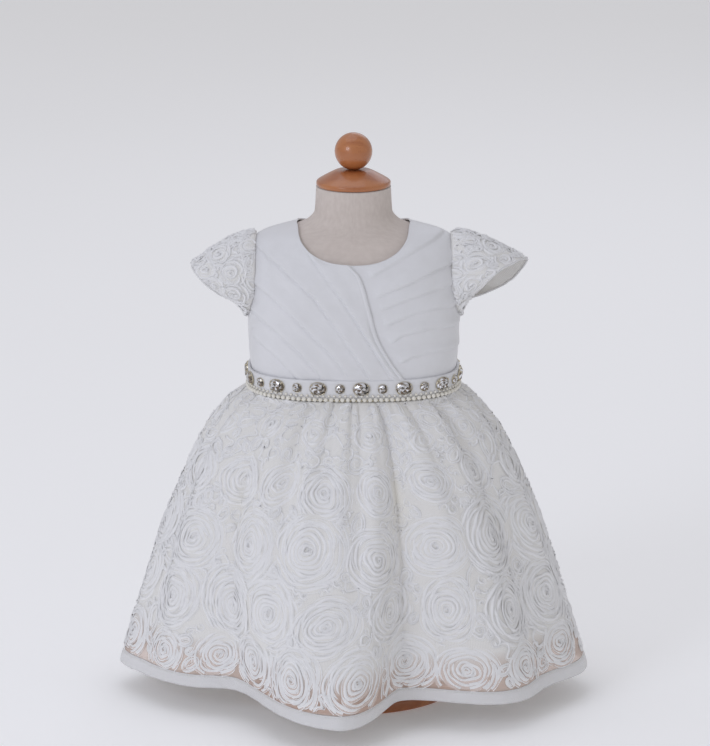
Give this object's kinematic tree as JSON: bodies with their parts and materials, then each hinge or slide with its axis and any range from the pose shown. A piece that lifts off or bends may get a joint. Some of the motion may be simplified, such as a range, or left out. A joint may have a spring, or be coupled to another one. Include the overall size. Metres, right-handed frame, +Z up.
{
  "type": "baby party dress on a limbless dress form",
  "caption": "Sleeved baby dress with a pleated wrap bodice, jewelled waist and a wide skirt of ribbon rosettes, worn on a linen torso form with a pole and round base.",
  "frame": {"origin": "on the table under the middle of the whole object", "axes": "+Z up, dress front towards -Y, +X towards the picture's right"},
  "size_m": [0.4497, 0.4355, 0.5399],
  "materials": {
    "satin": "soft sheen",
    "rosette_net": "ribbon on net",
    "organza": "sheer, folded double",
    "lining_satin": "satin",
    "crystal": "faceted, foil backed",
    "linen": "plain weave",
    "beech": "clear satin varnish"
  },
  "bodies": {
    "root": {"bodice_front_wrap": "satin", "bodice_front_under": "satin", "bodice_back_left": "satin", "bodice_back_right": "satin", "back_placket": "satin", "waistband": "satin", "back_button_1": "satin", "back_button_2": "satin", "back_button_3": "satin", "back_button_4": "satin", "skirt_front": "rosette_net", "skirt_back": "rosette_net", "sleeve_left": "rosette_net", "sleeve_right": "rosette_net", "hem_band": "organza", "skirt_lining": "lining_satin", "stone_large_01": "crystal", "stone_large_02": "crystal", "stone_large_03": "crystal", "stone_large_04": "crystal", "stone_large_05": "crystal", "stone_large_06": "crystal", "stone_large_07": "crystal", "stone_large_08": "crystal", "stone_large_09": "crystal", "stone_large_10": "crystal", "stone_large_11": "crystal", "stone_large_12": "crystal", "stone_large_13": "crystal", "stone_large_14": "crystal", "stone_small_01": "crystal", "stone_small_02": "crystal", "stone_small_03": "crystal", "stone_small_04": "crystal", "stone_small_05": "crystal", "stone_small_06": "crystal", "stone_small_07": "crystal", "stone_small_08": "crystal", "stone_small_09": "crystal", "stone_small_10": "crystal", "stone_small_11": "crystal", "stone_small_12": "crystal", "stone_small_13": "crystal", "stone_small_14": "crystal", "form_torso": "linen", "neck_cap": "beech", "finial_ball": "beech", "stand_pole": "beech", "stand_base": "beech"}
  },
  "joints": []
}
